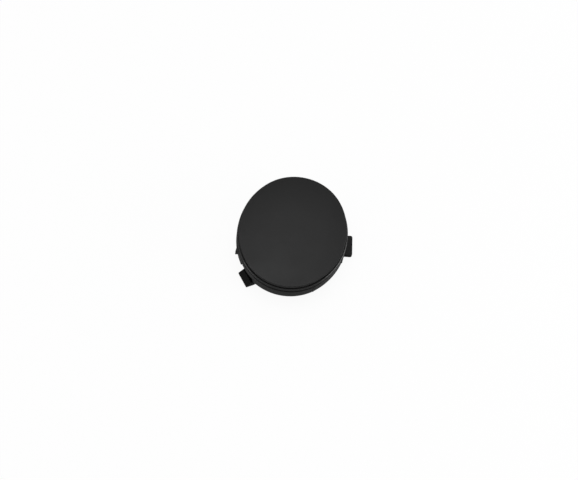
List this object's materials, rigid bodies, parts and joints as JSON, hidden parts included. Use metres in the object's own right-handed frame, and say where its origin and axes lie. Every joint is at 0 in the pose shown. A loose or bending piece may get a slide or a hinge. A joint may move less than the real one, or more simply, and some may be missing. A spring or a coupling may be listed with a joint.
{
  "type": "bumper tow hook cover",
  "caption": "Crowned oval snap-in cover for a bumper's towing eye opening, with a stepped skirt, a tongue and snap hooks behind it.",
  "frame": {"origin": "middle of the oval, in the plane where the skirt's lower edge seats on the bumper skin", "axes": "+Z out of the bumper through the face, +Y along the oval's long axis, +X along its short axis"},
  "size_m": [0.0686, 0.0734, 0.023],
  "materials": {
    "black_plastic": "fine-grained black injection moulding, satin, unpainted"
  },
  "bodies": {
    "root": {"tow_hook_cover": "black_plastic"}
  },
  "joints": []
}
